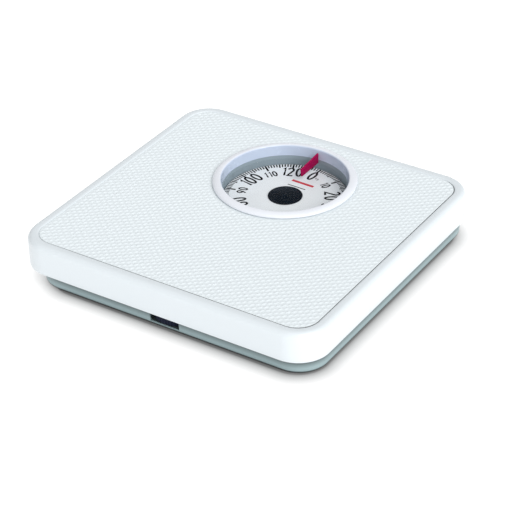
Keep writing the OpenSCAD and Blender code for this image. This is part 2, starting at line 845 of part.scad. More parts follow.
module dial_bridge() {
    high = 17;
    t = 1.5;
    color(steel)
        difference() {
            union() {
                box([-24, 24], [dial_y - 8, dial_y + 8], [high - t, high]);
                for (side = [-1, 1])
                    mirror([side < 0 ? 1 : 0, 0, 0]) {
                        box([22.5, 24], [dial_y - 8, dial_y + 8], [floor_z, high - 1]);
                        box([23, 33], [dial_y - 8, dial_y + 8], [floor_z, floor_z + 1.2]);
                    }
            }
            z_rod(3.5, 0, dial_y, [high - 3, high + 1]);
        }
}

module upper_bush() {
    color(brass)
        translate([0, dial_y, 0]) {
            ring(3.5 - seat, spindle_r + fit, 15.5, 17.5);
            ring(5, spindle_r + fit, 17, 18);
        }
}

module lower_bush() {
    color(brass)
        translate([0, dial_y, 0]) ring(5, spindle_r + fit, floor_z, rack_z - 1.2);
}

platform_cover();
tread_mat();
dial_bezel();
window_seal();
dial_window();
pointer();
dial_surround();
platform_hooks();
post_front_left();
post_front_right();
post_rear_left();
post_rear_right();
base_tray();
foot_front_left();
foot_front_right();
foot_rear_left();
foot_rear_right();
fulcrum_front_left();
fulcrum_front_right();
fulcrum_rear_left();
fulcrum_rear_right();
bracket_rivets();
long_lever_left();
long_lever_right();
short_lever_left();
short_lever_right();
long_pins_left();
long_pins_right();
short_pins_left();
short_pins_right();
calibrating_plate();
plate_pin();
lower_spring_plug();
main_spring();
upper_spring_plug();
hanger_nut();
adjuster_lever();
spring_bridge();
pivot_shaft();
shaft_clips();
bell_crank();
crank_pin();
rack();
rack_guide();
rack_saddle();
rack_spring();
spring_post();
dial_disc();
dial_hub();
hub_cap();
dial_shaft();
pinion();
dial_bridge();
upper_bush();
lower_bush();
zero_wheel();
adjusting_screw();
wheel_bush();
retaining_springs();
base_hooks();
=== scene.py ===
"""Looks of a mechanical dial scale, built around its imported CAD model. Metres, +Z up, dial towards +Y."""

import json
import math

import bpy
import numpy as np
from mathutils import Matrix, Vector


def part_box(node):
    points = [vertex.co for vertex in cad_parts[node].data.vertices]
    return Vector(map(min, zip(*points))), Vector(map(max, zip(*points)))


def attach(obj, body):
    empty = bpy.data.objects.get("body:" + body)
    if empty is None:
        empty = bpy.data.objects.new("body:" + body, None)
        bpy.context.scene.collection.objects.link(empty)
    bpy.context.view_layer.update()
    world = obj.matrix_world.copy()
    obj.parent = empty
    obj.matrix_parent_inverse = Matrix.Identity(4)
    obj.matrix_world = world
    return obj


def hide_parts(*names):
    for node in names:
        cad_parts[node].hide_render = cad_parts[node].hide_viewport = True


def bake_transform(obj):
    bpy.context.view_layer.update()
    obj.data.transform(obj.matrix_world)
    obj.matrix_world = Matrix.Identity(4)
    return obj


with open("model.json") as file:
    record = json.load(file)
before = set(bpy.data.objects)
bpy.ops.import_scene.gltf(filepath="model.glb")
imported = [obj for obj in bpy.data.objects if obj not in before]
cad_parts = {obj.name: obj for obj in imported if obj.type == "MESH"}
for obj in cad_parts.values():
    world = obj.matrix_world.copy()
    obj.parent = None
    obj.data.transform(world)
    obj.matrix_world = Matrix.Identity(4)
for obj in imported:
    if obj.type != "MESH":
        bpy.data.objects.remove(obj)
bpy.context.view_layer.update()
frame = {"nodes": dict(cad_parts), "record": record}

MM = 0.001

# ---- places and sizes read from the frame ----

cover_low, cover_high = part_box("platform_cover")
mat_low, mat_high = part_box("tread_mat")
bezel_low, bezel_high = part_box("dial_bezel")
window_low, window_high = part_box("dial_window")
surround_low, surround_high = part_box("dial_surround")
disc_low, disc_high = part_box("dial_disc")
cap_low, cap_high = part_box("hub_cap")
pointer_low, pointer_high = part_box("pointer")
spring_low, spring_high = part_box("main_spring")
rack_spring_low, rack_spring_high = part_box("rack_spring")
tray_low, tray_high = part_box("base_tray")

dial_x = (disc_low.x + disc_high.x) / 2
dial_y = (disc_low.y + disc_high.y) / 2
bezel_r = (bezel_high.x - bezel_low.x) / 2
disc_r = (disc_high.x - disc_low.x) / 2
cap_r = (cap_high.x - cap_low.x) / 2
border_z = cover_high.z
panel_z = mat_low.z

# Sizes of the CAD parts that no box gives
corner_r = 29.4 * MM       # the cover's corners seen from above
sheet_t = 1.2 * MM         # sheet steel of cover and tray
edge_r = 5.0 * MM          # rounded top edge of the cover
mat_inset = 9.7 * MM       # bare border around the mat
bezel_bore_r = 57.5 * MM   # inner wall of the bezel
bezel_tube_r = 59.55 * MM  # outer wall of its tube
tray_corner_r = 27.8 * MM  # the tray's corners seen from above
mat_slack = 0.35 * MM      # the mat lies this far to the left and rear of its recess
coil_mean_r = 9.0 * MM     # main spring, to the middle of its wire
coil_wire_r = 1.25 * MM    # half the main spring's wire


# ---- mesh helpers ----

def make_piece(name, verts, faces, material, body=None, crease=40):
    """Mesh object that rides on a CAD body; edges sharper than crease degrees stay sharp."""
    mesh = bpy.data.meshes.new(name)
    mesh.from_pydata([tuple(v) for v in verts], [], faces)
    mesh.validate()
    mesh.polygons.foreach_set("use_smooth", [True] * len(mesh.polygons))
    mesh.set_sharp_from_angle(angle=math.radians(crease))
    mesh.materials.append(material)
    mesh.update()
    piece = bpy.data.objects.new(name, mesh)
    bpy.context.scene.collection.objects.link(piece)
    if body:
        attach(piece, body)
    return piece


def loft(loops, close_loops=True, join_ends=False, cap_ends=False):
    """Vertices and quads of a skin through loops that have the same number of points."""
    count = len(loops[0])
    verts = [p for loop in loops for p in loop]
    faces = []
    spans = len(loops) if join_ends else len(loops) - 1
    around = count if close_loops else count - 1
    for i in range(spans):
        a, b = i * count, (i + 1) % len(loops) * count
        for j in range(around):
            k = (j + 1) % count
            faces.append((a + j, a + k, b + k, b + j))
    if cap_ends:
        faces.append(tuple(reversed(range(count))))
        faces.append(tuple(range(len(verts) - count, len(verts))))
    return verts, faces


def arc(cx, cy, rx, ry, start, end, steps):
    """Points along an elliptic arc, angles in degrees."""
    return [
        (cx + rx * math.cos(math.radians(start + (end - start) * i / steps)),
         cy + ry * math.sin(math.radians(start + (end - start) * i / steps)))
        for i in range(steps + 1)
    ]


def revolve(profile, steps, closed=True, x=0.0, y=0.0):
    """Skin of a profile of (radius, height) points turned about a vertical axis."""
    loops = []
    for r, z in profile:
        loops.append([
            (x + r * math.cos(2 * math.pi * k / steps), y + r * math.sin(2 * math.pi * k / steps), z)
            for k in range(steps)
        ])
    return loft(loops, join_ends=closed)


def rounded_loop(inset, z, half_x, half_y, radius, corner_steps=16, side_steps=10):
    """Points around a rounded rectangle, inset from half_x, half_y."""
    r = max(radius - inset, 0.5 * MM)
    cx, cy = half_x - inset - r, half_y - inset - r
    points = []
    for sx, sy, start in ((1, 1, 0), (-1, 1, 90), (-1, -1, 180), (1, -1, 270)):
        turn = arc(sx * cx, sy * cy, r, r, start, start + 90, corner_steps)
        if points:
            points.extend(between(points[-1], turn[0], side_steps))
        points.extend(turn)
    points.extend(between(points[-1], points[0], side_steps))
    return [(px, py, z) for px, py in points]


def between(a, b, steps):
    """Points between a and b, without the ends."""
    return [
        (a[0] + (b[0] - a[0]) * i / steps, a[1] + (b[1] - a[1]) * i / steps)
        for i in range(1, steps)
    ]


def tube_along(path, radius, sides=10):
    """Round tube through the points of a path, with flat ends."""
    path = [Vector(p) for p in path]
    loops = []
    normal = None
    for i, p in enumerate(path):
        ahead = path[min(i + 1, len(path) - 1)] - path[max(i - 1, 0)]
        ahead.normalize()
        if normal is None:
            normal = ahead.orthogonal().normalized()
        normal = (normal - ahead * normal.dot(ahead)).normalized()
        side = ahead.cross(normal)
        turns = [2 * math.pi * k / sides for k in range(sides)]
        loops.append([p + radius * (normal * math.cos(a) + side * math.sin(a)) for a in turns])
    return loft(loops, cap_ends=True)


class Mesh:
    """Collects several skins into one mesh."""

    def __init__(self):
        self.verts = []
        self.faces = []

    def add(self, skin):
        verts, faces = skin
        base = len(self.verts)
        self.verts.extend(verts)
        self.faces.extend(tuple(base + i for i in face) for face in faces)
        return self


# ---- materials ----

def new_material(name, color, roughness, **inputs):
    """Principled material; a uniform value goes straight on the shader's socket."""
    material = bpy.data.materials.new(name)
    material.use_nodes = True
    shader = material.node_tree.nodes["Principled BSDF"]
    shader.inputs["Base Color"].default_value = (*color, 1)
    shader.inputs["Roughness"].default_value = roughness
    for key, value in inputs.items():
        shader.inputs[key.replace("_", " ")].default_value = value
    return material


def node(material, kind, **settings):
    """New shader node with its settings."""
    made = material.node_tree.nodes.new(kind)
    for key, value in settings.items():
        setattr(made, key, value)
    return made


def noise(material, scale, detail=3.0, stretch=(1, 1, 1)):
    """Noise in the row frame's own metres."""
    links = material.node_tree.links
    place = node(material, "ShaderNodeTexCoord")
    mapping = node(material, "ShaderNodeMapping")
    mapping.inputs["Scale"].default_value = stretch
    texture = node(material, "ShaderNodeTexNoise")
    texture.inputs["Scale"].default_value = scale
    texture.inputs["Detail"].default_value = detail
    links.new(place.outputs["Object"], mapping.inputs["Vector"])
    links.new(mapping.outputs["Vector"], texture.inputs["Vector"])
    return texture.outputs["Fac"]


def vary(material, source, socket, low, high):
    """Lets a 0 to 1 pattern drive a number or a colour of the shader."""
    links = material.node_tree.links
    shader = material.node_tree.nodes["Principled BSDF"]
    ramp = node(material, "ShaderNodeValToRGB")
    ramp.color_ramp.elements[0].position = 0.3
    ramp.color_ramp.elements[1].position = 0.7
    as_color = [v if isinstance(v, tuple) else (v, v, v) for v in (low, high)]
    for element, value in zip(ramp.color_ramp.elements, as_color):
        element.color = (*value, 1)
    links.new(source, ramp.inputs["Fac"])
    links.new(ramp.outputs["Color"], shader.inputs[socket])


def bump(material, source, distance, strength=1.0):
    """Lets a pattern raise the surface by up to distance."""
    links = material.node_tree.links
    shader = material.node_tree.nodes["Principled BSDF"]
    made = node(material, "ShaderNodeBump")
    made.inputs["Strength"].default_value = strength
    made.inputs["Distance"].default_value = distance
    links.new(source, made.inputs["Height"])
    links.new(made.outputs["Normal"], shader.inputs["Normal"])


def shaded(color, factor):
    """Colour made lighter or darker, no channel past 1."""
    return tuple(min(c * factor, 1) for c in color)


def painted(name, color, roughness=0.32):
    """Stove enamel: faint orange peel and patches of slightly duller gloss."""
    material = new_material(name, color, roughness, Coat_Weight=0.15, Coat_Roughness=0.2)
    vary(material, noise(material, 5, 1), "Base Color", shaded(color, 0.992), shaded(color, 1.006))
    vary(material, noise(material, 60), "Roughness", roughness - 0.02, roughness + 0.03)
    bump(material, noise(material, 900, 2), 0.008 * MM, 0.4)
    return material


def ramp_over(material, source, stops, low, high):
    """Colour from (place, value) stops, for a source that runs from low to high."""
    links = material.node_tree.links
    spread = node(material, "ShaderNodeMapRange")
    spread.inputs["From Min"].default_value = low
    spread.inputs["From Max"].default_value = high
    ramp = node(material, "ShaderNodeValToRGB")
    elements = ramp.color_ramp.elements
    places = [(where - low) / (high - low) for where, value in stops]
    elements[0].position, elements[1].position = places[0], places[-1]
    for where in places[1:-1]:
        elements.new(where)
    for element, (where, value) in zip(elements, stops):
        element.color = (*(value if isinstance(value, tuple) else (value, value, value)), 1)
    links.new(source, spread.inputs["Value"])
    links.new(spread.outputs["Result"], ramp.inputs["Fac"])
    return ramp.outputs["Color"]


def toned(material, stops, axis, low, high):
    """Multiplies the colour by tones along an axis, or outward from the dial's centre, to paint shade."""
    links = material.node_tree.links
    shader = material.node_tree.nodes["Principled BSDF"]
    place = node(material, "ShaderNodeTexCoord")
    if axis == "radius":
        centred = node(material, "ShaderNodeVectorMath", operation="SUBTRACT")
        centred.inputs[1].default_value = (dial_x, dial_y, 0)
        flat = node(material, "ShaderNodeVectorMath", operation="MULTIPLY")
        flat.inputs[1].default_value = (1, 1, 0)
        length = node(material, "ShaderNodeVectorMath", operation="LENGTH")
        links.new(place.outputs["Object"], centred.inputs[0])
        links.new(centred.outputs[0], flat.inputs[0])
        links.new(flat.outputs[0], length.inputs[0])
        source = length.outputs["Value"]
    else:
        split = node(material, "ShaderNodeSeparateXYZ")
        links.new(place.outputs["Object"], split.inputs[0])
        source = split.outputs[axis]
    product = node(material, "ShaderNodeMix", data_type="RGBA", blend_type="MULTIPLY")
    product.inputs["Factor"].default_value = 1
    links.new(shader.inputs["Base Color"].links[0].from_socket, product.inputs["A"])
    links.new(ramp_over(material, source, stops, low, high), product.inputs["B"])
    links.new(product.outputs["Result"], shader.inputs["Base Color"])


def moulded(name, color, roughness, grain=1200, depth=0.015, coat=0.0, shine=0.5):
    """Injection-moulded plastic with a fine skin texture."""
    material = new_material(name, color, roughness, Coat_Weight=coat, Coat_Roughness=0.08,
                            Specular_IOR_Level=shine)
    vary(material, noise(material, 25), "Base Color", shaded(color, 0.96), shaded(color, 1.03))
    vary(material, noise(material, 140), "Roughness", roughness * 0.85, roughness * 1.15)
    bump(material, noise(material, grain, 2), depth * MM, 0.5)
    return material


def rubbery(name, color, roughness=0.62):
    """Vinyl or rubber: matt, with fine speckle."""
    material = new_material(name, color, roughness, Specular_IOR_Level=0.35)
    vary(material, noise(material, 450, 4), "Base Color", shaded(color, 0.965), shaded(color, 1.02))
    bump(material, noise(material, 2600, 2), 0.02 * MM, 0.5)
    return material


def metal(name, color, roughness, stretch=(1, 1, 1), spangle=120):
    """Plated or drawn metal: patches of tone, streaked along the drawing direction."""
    material = new_material(name, color, roughness, Metallic=1.0)
    vary(material, noise(material, spangle, 4, stretch), "Base Color",
         shaded(color, 0.82), shaded(color, 1.08))
    vary(material, noise(material, 320, 3, stretch), "Roughness", roughness * 0.75, roughness * 1.3)
    bump(material, noise(material, 1500, 2, stretch), 0.01 * MM, 0.4)
    return material


def clear_plastic(name):
    """Thin clear acrylic: nearly invisible, with a faint tint and no refraction."""
    material = new_material(name, (0.03, 0.033, 0.036), 0.05, Alpha=0.04, IOR=1.49)
    vary(material, noise(material, 30), "Roughness", 0.03, 0.06)
    return material


ENAMEL = painted("white_enamel", (0.745, 0.80, 0.835))
MAT = rubbery("mat_vinyl", (0.80, 0.86, 0.89))
BEZEL = moulded("bezel_plastic", (0.85, 0.88, 0.94), 0.25, coat=0.3)
# Painted shade: the bezel is darker and bluer on its inner wall than on its crown, easing back to its own
# colour over the first 1.2 mm of the nose.
toned(BEZEL, ((bezel_bore_r, (0.68, 0.76, 0.88)), (bezel_bore_r + 1.2 * MM, 1.0)), "radius",
      bezel_bore_r - 2 * MM, bezel_bore_r + 8 * MM)
SURROUND = moulded("surround_plastic", (0.295, 0.365, 0.41), 0.5, shine=0.3)
# Painted shadow: the seam strip is a grey sheet standing in for the shade under the border's lip, darkened
# further towards the right (+X) where that shade is deepest.
SEAM_SHADOW = rubbery("painted_seam_shadow", (0.50, 0.54, 0.56), 0.8)
toned(SEAM_SHADOW, ((-135 * MM, 1.0), (-90 * MM, 0.4), (0, 0.26), (120 * MM, 0.2)), "X", -150 * MM, 150 * MM)
WINDOW = clear_plastic("window_acrylic")
POINTER = moulded("pointer_plastic", (0.37, 0.001, 0.07), 0.5, shine=0.06)
TRAY = painted("tray_enamel", (0.345, 0.455, 0.475), 0.42)
# Painted shade: the tray's colour is nearly black in its lowest 2 mm, as in the shadow at its foot, full
# from 3 to 5.2 mm, then darker up to 11 mm and above, as in the shade under the skirt.
toned(TRAY, ((0, 0.12), (2 * MM, 0.14), (3 * MM, 1.0), (5.2 * MM, 1.0), (11 * MM, 0.38)), "Z", 0.0, 20 * MM)
ZINC = metal("zinc_steel", (0.66, 0.67, 0.68), 0.36)
DARK_STEEL = metal("dark_steel", (0.22, 0.22, 0.24), 0.42)
WIRE = metal("spring_wire", (0.5, 0.51, 0.53), 0.3, spangle=300)
BRASS = metal("brass", (0.72, 0.53, 0.24), 0.3, spangle=90)
FOOT = rubbery("foot_rubber", (0.05, 0.05, 0.055), 0.75)
DISC = moulded("dial_white", (0.90, 0.94, 0.965), 0.45, depth=0.004, shine=0.3)
CAP = moulded("cap_black", (0.002, 0.006, 0.012), 0.3, depth=0.002, shine=0.05)
WHEEL = moulded("wheel_black", (0.010, 0.014, 0.034), 0.45, depth=0.006, shine=0.15)
INK = new_material("dial_ink", (0.003, 0.003, 0.005), 0.6, Specular_IOR_Level=0.05)
vary(INK, noise(INK, 700), "Base Color", (0.002, 0.002, 0.004), (0.005, 0.005, 0.008))
RED_INK = new_material("dial_red_ink", (0.62, 0.03, 0.05), 0.5)
vary(RED_INK, noise(RED_INK, 700), "Base Color", (0.58, 0.02, 0.04), (0.68, 0.06, 0.08))


def finish_cad_nodes():
    """Gives every CAD node that stays the material of its record slot."""
    by_slot = {
        "white_enamel": ENAMEL, "mat_rubber": MAT, "bezel_white": BEZEL, "grey_plastic": SURROUND,
        "clear_plastic": WINDOW, "pointer_red": POINTER, "tray_grey": TRAY, "zinc_steel": ZINC,
        "dark_steel": DARK_STEEL, "spring_steel": WIRE, "brass": BRASS, "foot_rubber": FOOT,
        "dial_white": DISC, "cap_black": CAP, "wheel_black": WHEEL,
    }
    slots = {part["node"]: part["material_slot"] for part in frame["record"]["subparts"]}
    for name, cad in frame["nodes"].items():
        cad.data.materials.clear()
        cad.data.materials.append(by_slot[slots[name]])


# ---- platform ----

def build_cover():
    """Pressed steel cover: hemmed skirt, rounded top edge, border, and a recess for the mat."""
    half_x, half_y = cover_high.x, cover_high.y
    hem = 0.5 * MM
    roll = 2.6 * MM
    low = cover_low.z
    hole_r = bezel_tube_r + 0.8 * MM
    outer = [(hem, low)]
    outer += [(hem - x, z) for x, z in arc(0, low + hem, hem, hem, -60, 0, 3)]
    outer += [(0, low + (border_z - edge_r - low) * k / 4) for k in (1, 2, 3)]
    outer += [(edge_r - x, z) for x, z in arc(0, border_z - edge_r, edge_r, edge_r, 0, 90, 10)]
    outer += [(mat_inset - roll + x, z)
              for x, z in arc(0, panel_z, roll, border_z - panel_z, 90, 0, 8)]
    outer += [(mat_inset + 2 * MM, panel_z)]
    inner_edge = edge_r - sheet_t
    inner = [(mat_inset + sheet_t, panel_z - sheet_t), (mat_inset + sheet_t, border_z - sheet_t)]
    inner += [(edge_r - x, z) for x, z in arc(0, border_z - edge_r, inner_edge, inner_edge, 90, 0, 8)]
    inner += [(sheet_t, low)]
    loops = [rounded_loop(d, z, half_x, half_y, corner_r) for d, z in outer]
    rim = loops[-1]

    def on_circle(radius, z):
        made = []
        for px, py, _ in rim:
            angle = math.atan2(py - dial_y, px - dial_x)
            made.append((dial_x + radius * math.cos(angle), dial_y + radius * math.sin(angle), z))
        return made

    loops += [on_circle(hole_r, panel_z), on_circle(hole_r, panel_z - sheet_t)]
    loops += [rounded_loop(d, z, half_x, half_y, corner_r) for d, z in inner]
    verts, faces = loft(loops, join_ends=True)
    piece = make_piece("platform_shell", verts, faces, ENAMEL, "platform", crease=50)
    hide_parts("platform_cover")


def build_seam():
    """Painted shadow: a dark strip along the floor of the recess, in place of the shade that the border's
    lip casts, seen where the mat stands off its edge.
    """
    loops = [rounded_loop(mat_inset + d, z, cover_high.x, cover_high.y, corner_r)
             for d, z in ((-0.3 * MM, panel_z + 0.01 * MM), (1.4 * MM, panel_z + 0.01 * MM),
                          (1.4 * MM, panel_z + 0.04 * MM), (-0.3 * MM, panel_z + 0.04 * MM))]
    verts, faces = loft(loops, join_ends=True)
    piece = make_piece("mat_seam_shadow", verts, faces, SEAM_SHADOW, "platform", crease=30)


def smoothstep(t):
    """Smooth rise from 0 to 1 as t goes from 0 to 1."""
    t = np.clip(t, 0, 1)
    return t * t * (3 - 2 * t)


def build_mat():
    """Vinyl mat with staggered slanting grains raised from its face, trimmed to its outline."""
    pitch_x, pitch_y = 7.75 * MM, 6.25 * MM
    across, along = 12, 10         # mesh steps to a pitch
    grain = 0.6 * MM               # height of a grain
    steepness = 1.25               # above 1, a grain has a flat top
    edge_drop = 0.1 * MM           # the face falls by this much at the outline
    spare = 0.7                    # mesh points this many steps outside are kept and pulled in
    grain_half, grain_wide, slant = 3.3 * MM, 1.25 * MM, math.radians(57)
    face_z = mat_high.z - 0.8 * MM
    half_x, half_y = mat_high.x, mat_high.y
    radius = corner_r - mat_inset
    hole_r = bezel_tube_r + 1.2 * MM
    clear_r = bezel_r + 1.4 * MM
    step_x, step_y = pitch_x / across, pitch_y / along
    nx, ny = int(half_x / step_x) + 2, int(half_y / step_y) + 2
    xs, ys = np.arange(-nx, nx + 1) * step_x, np.arange(-ny, ny + 1) * step_y
    X, Y = np.meshgrid(xs, ys)

    # Distance inside the outline, with its direction
    qx, qy = np.abs(X) - (half_x - radius), np.abs(Y) - (half_y - radius)
    reach = np.hypot(np.maximum(qx, 0), np.maximum(qy, 0))
    inside = radius - reach - np.minimum(np.maximum(qx, qy), 0)
    from_dial = np.hypot(X - dial_x, Y - dial_y)
    beyond_hole = from_dial - hole_r
    kept = (inside > -spare * step_x) & (beyond_hole > -spare * step_x)

    # Pull the outermost points back to the outline
    over = np.maximum(-inside, 0)
    in_corner = (qx > 0) & (qy > 0)
    length = np.where(reach > 0, reach, 1)
    dx = np.where(in_corner, np.maximum(qx, 0) / length, (qx > qy).astype(float))
    dy = np.where(in_corner, np.maximum(qy, 0) / length, (qy >= qx).astype(float))
    X = X - over * dx * np.sign(X)
    Y = Y - over * dy * np.sign(Y)
    push = np.maximum(-beyond_hole, 0) / np.maximum(from_dial, 1e-6)
    X = X + push * (X - dial_x)
    Y = Y + push * (Y - dial_y)

    lattice = np.zeros(X.shape)
    for shift in (0, 0.5):
        u, v = X / pitch_x + shift, Y / pitch_y + shift
        u, v = (u - np.round(u)) * pitch_x, (v - np.round(v)) * pitch_y
        lengthwise = (u * math.cos(slant) + v * math.sin(slant)) / grain_half
        crosswise = (v * math.cos(slant) - u * math.sin(slant)) / grain_wide
        lattice = np.maximum(lattice, 1 - np.hypot(lengthwise, crosswise))
    edge = smoothstep((inside - 0.2 * MM) / (1.6 * MM)) * smoothstep((from_dial - clear_r) / (2 * MM))
    roll = smoothstep(inside / (0.6 * MM)) - 1
    Z = face_z + grain * smoothstep(steepness * lattice) * edge + edge_drop * roll

    number = -np.ones(X.shape, int)
    number[kept] = np.arange(kept.sum())
    a, b, c, d = number[:-1, :-1], number[:-1, 1:], number[1:, 1:], number[1:, :-1]
    whole = (a >= 0) & (b >= 0) & (c >= 0) & (d >= 0)
    faces = np.stack([a[whole], b[whole], c[whole], d[whole]], -1)
    verts = np.stack([X[kept] - mat_slack, Y[kept] + mat_slack, Z[kept]], -1)
    verts, faces = drop_rim(verts, faces, panel_z + 0.05 * MM)
    piece = make_piece("grained_mat", verts, faces, MAT, "platform", crease=70)
    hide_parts("tread_mat")


def drop_rim(verts, faces, z):
    """Adds a wall from every open edge of a sheet down to height z."""
    edges = dict.fromkeys((face[i], face[(i + 1) % 4]) for face in faces.tolist() for i in range(4))
    rim = [pair for pair in edges if (pair[1], pair[0]) not in edges]
    lower = {}
    new_verts = verts.tolist()
    new_faces = [tuple(f) for f in faces.tolist()]
    for pair in rim:
        for i in pair:
            if i not in lower:
                lower[i] = len(new_verts)
                new_verts.append((new_verts[i][0], new_verts[i][1], z))
        new_faces.append((pair[1], pair[0], lower[pair[0]], lower[pair[1]]))
    return new_verts, new_faces


def build_bezel():
    """Glossy ring: steep inner wall, rounded crest, soft outer slope."""
    nose = 1.6 * MM
    crest_x = bezel_bore_r + nose
    top, foot = bezel_high.z, border_z
    wall = [(bezel_bore_r, bezel_low.z + (top - nose - bezel_low.z) * k / 6) for k in range(1, 6)]
    profile = [(bezel_bore_r + 0.3 * MM, bezel_low.z), (bezel_bore_r, bezel_low.z + 0.3 * MM)]
    profile += wall
    profile += arc(crest_x, top - nose, nose, nose, 180, 90, 10)
    slope = arc(crest_x, foot + 0.4 * MM, bezel_r - crest_x, top - foot - 0.4 * MM, 84, 4, 14)
    profile += slope
    profile += [(bezel_r, foot + 0.2 * MM), (bezel_r - 0.1 * MM, foot), (bezel_tube_r, foot)]
    profile += [(bezel_tube_r, bezel_low.z)]
    verts, faces = revolve(list(reversed(profile)), 192, x=dial_x, y=dial_y)
    piece = make_piece("round_bezel", verts, faces, BEZEL, "platform")
    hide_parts("dial_bezel")


def build_window():
    """Clear flat window with a small chamfer at its edge."""
    radius = bezel_bore_r + 0.03 * MM
    chamfer = 0.25 * MM
    low, high = window_low.z, window_high.z
    profile = [(0.01 * MM, low), (radius - chamfer, low), (radius, low + chamfer),
               (radius, high - chamfer), (radius - chamfer, high), (0.01 * MM, high)]
    verts, faces = revolve(profile, 128, closed=False, x=dial_x, y=dial_y)
    piece = make_piece("clear_window", verts, faces, WINDOW, "platform", crease=30)
    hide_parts("dial_window")


def build_liner():
    """Grey seal and surround, drawn as one continuous liner under the bezel."""
    bore, sleeve = bezel_bore_r + 0.05 * MM, bezel_tube_r + 0.05 * MM
    low, top = surround_low.z, surround_high.z
    seal_z = bezel_low.z - 0.02 * MM
    profile = [(bore, low), (bore, seal_z), (sleeve, seal_z), (sleeve, top),
               (surround_high.x - dial_x, top), (surround_high.x - dial_x, low)]
    verts, faces = revolve(profile, 192, x=dial_x, y=dial_y)
    piece = make_piece("window_liner", verts, faces, SURROUND, "platform", crease=30)
    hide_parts("window_seal", "dial_surround")


def build_pointer():
    """Moulded blade that stands on edge above the dial, thinner along its lower edge."""
    low, high = pointer_low.z, pointer_high.z
    tip_y, root_y = pointer_low.y, pointer_high.y
    tip_top = low + 7.8 * MM
    half = (pointer_high.x - pointer_low.x) / 2
    outline = [(tip_y + 1.2 * MM, low), (root_y, low), (root_y - 0.1 * MM, high), (tip_y, tip_top)]
    outline = rounded_corners(outline, 0.5 * MM, 4)
    centre = (sum(p[0] for p in outline) / len(outline), sum(p[1] for p in outline) / len(outline))
    loops = []
    for x, shrink in ((-half, 0.3), (-half + 0.2 * MM, 0), (half - 0.2 * MM, 0), (half, 0.3)):
        loop = []
        for y, z in outline:
            toward = Vector((centre[0] - y, centre[1] - z)).normalized() * shrink * MM
            keep = 1 if z > low + 0.5 * MM else 0.7
            loop.append((x * keep, y + toward.x, max(z + toward.y, low)))
        loops.append(loop)
    verts, faces = loft(loops, cap_ends=True)
    piece = make_piece("pointer_blade", verts, faces, POINTER, "platform", crease=35)
    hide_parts("pointer")


def rounded_corners(outline, radius, steps):
    """Outline with each corner cut by a short curve."""
    made = []
    count = len(outline)
    for i in range(count):
        p = Vector(outline[i])
        before = (Vector(outline[i - 1]) - p).normalized() * radius
        after = (Vector(outline[(i + 1) % count]) - p).normalized() * radius
        for k in range(steps + 1):
            t = k / steps
            made.append(tuple(p + before * (1 - t) ** 2 + after * t ** 2))
    return made


# ---- dial ----

KG_TURN = 360 / 130        # degrees of dial to a kilogram
ZERO_TURN = 4.0            # the zero mark stands this far clockwise of the pointer at rest
LARGE = (15.2 * MM, 6.8 * MM, 7.9 * MM, 2.0 * MM, 42.6 * MM)   # height, width, spacing, stroke, radius
SMALL = (9.4 * MM, 4.6 * MM, 5.6 * MM, 1.45 * MM, 40.4 * MM)
TICK_OUT = 56.1 * MM


def digit_strokes(digit):
    """Strokes of a thin geometric digit in a box one unit wide and two and a half high."""
    w, h = 0.5, 1.25
    ring = [arc(0, 0, w, h, 0, 360, 40)]
    bowl = 0.72
    strokes = {
        "0": ring,
        "1": [[(-0.22, h - 0.42), (0.08, h), (0.08, -h)]],
        "2": [arc(0, h - w * 1.15, w, w * 1.15, 165, -28, 18) + [(-w, -h), (w, -h)]],
        "3": [arc(0, h - bowl * 0.8, w * 0.92, bowl * 0.8, 150, -80, 18)
              + arc(0, -h + bowl * 0.95, w, bowl * 0.95, 80, -150, 22)],
        "4": [[(0.2, -h), (0.2, h), (-w, -0.55), (w + 0.05, -0.55)]],
        "5": [[(w * 0.85, h), (-w * 0.75, h), (-w * 0.8, 0.12)]
              + arc(0, -h + bowl * 1.05, w, bowl * 1.05, 130, -145, 22)],
        "6": [arc(0, -h + bowl, w, bowl, 0, 360, 32),
              [(-w * 0.98, -h + bowl * 0.9), (-w * 0.55, 0.45), (w * 0.35, h)]],
        "7": [[(-w, h), (w, h), (-w * 0.3, -h)]],
        "8": [arc(0, h - bowl * 0.8, w * 0.88, bowl * 0.8, 0, 360, 32),
              arc(0, -h + bowl * 0.93, w, bowl * 0.93, 0, 360, 32)],
        "9": [arc(0, h - bowl, w, bowl, 0, 360, 32),
              [(w * 0.98, h - bowl * 0.9), (w * 0.55, -0.45), (-w * 0.35, -h)]],
    }
    return strokes[digit]


def ribbon(points, width, low, high):
    """Flat printed stroke along points, as a thin closed bar."""
    points = [Vector((p[0], p[1])) for p in points]
    closed = (points[0] - points[-1]).length < 1e-7
    if closed:
        points = points[:-1]
    count = len(points)
    loops = []
    for i, p in enumerate(points):
        before = points[i - 1] if closed or i else p
        after = points[(i + 1) % count] if closed or i < count - 1 else p
        one = (p - before).normalized() if before is not p else (after - p).normalized()
        two = (after - p).normalized() if after is not p else one
        mean = (one + two).normalized()
        spread = min(1 / max(mean.dot(one), 0.35), 1.6)
        side = Vector((-mean.y, mean.x)) * width / 2 * spread
        a, b = p + side, p - side
        loops.append([(a.x, a.y, low), (b.x, b.y, low), (b.x, b.y, high), (a.x, a.y, high)])
    return loft(loops, join_ends=closed, cap_ends=not closed)


def on_dial(x, y, angle):
    """Point at x across and y outward, for a direction clockwise from the back of the dial."""
    a = math.radians(angle)
    return (dial_x + x * math.cos(a) + y * math.sin(a), dial_y - x * math.sin(a) + y * math.cos(a))


def print_number(mesh, text, angle, style, low, high):
    """Adds a number's strokes, upright for a reader at that angle of the dial."""
    height, width, spacing, stroke, radius = style
    gaps = [spacing * (0.72 if "1" in pair else 1.0) for pair in zip(text, text[1:])]
    places = [sum(gaps[:i]) - sum(gaps) / 2 for i in range(len(text))]
    for character, place in zip(text, places):
        for points in digit_strokes(character):
            scaled = [(place + px * (width - stroke), radius + py * (height - stroke) / 2.5)
                      for px, py in points]
            mesh.add(ribbon([on_dial(px, py, angle) for px, py in scaled], stroke, low, high))


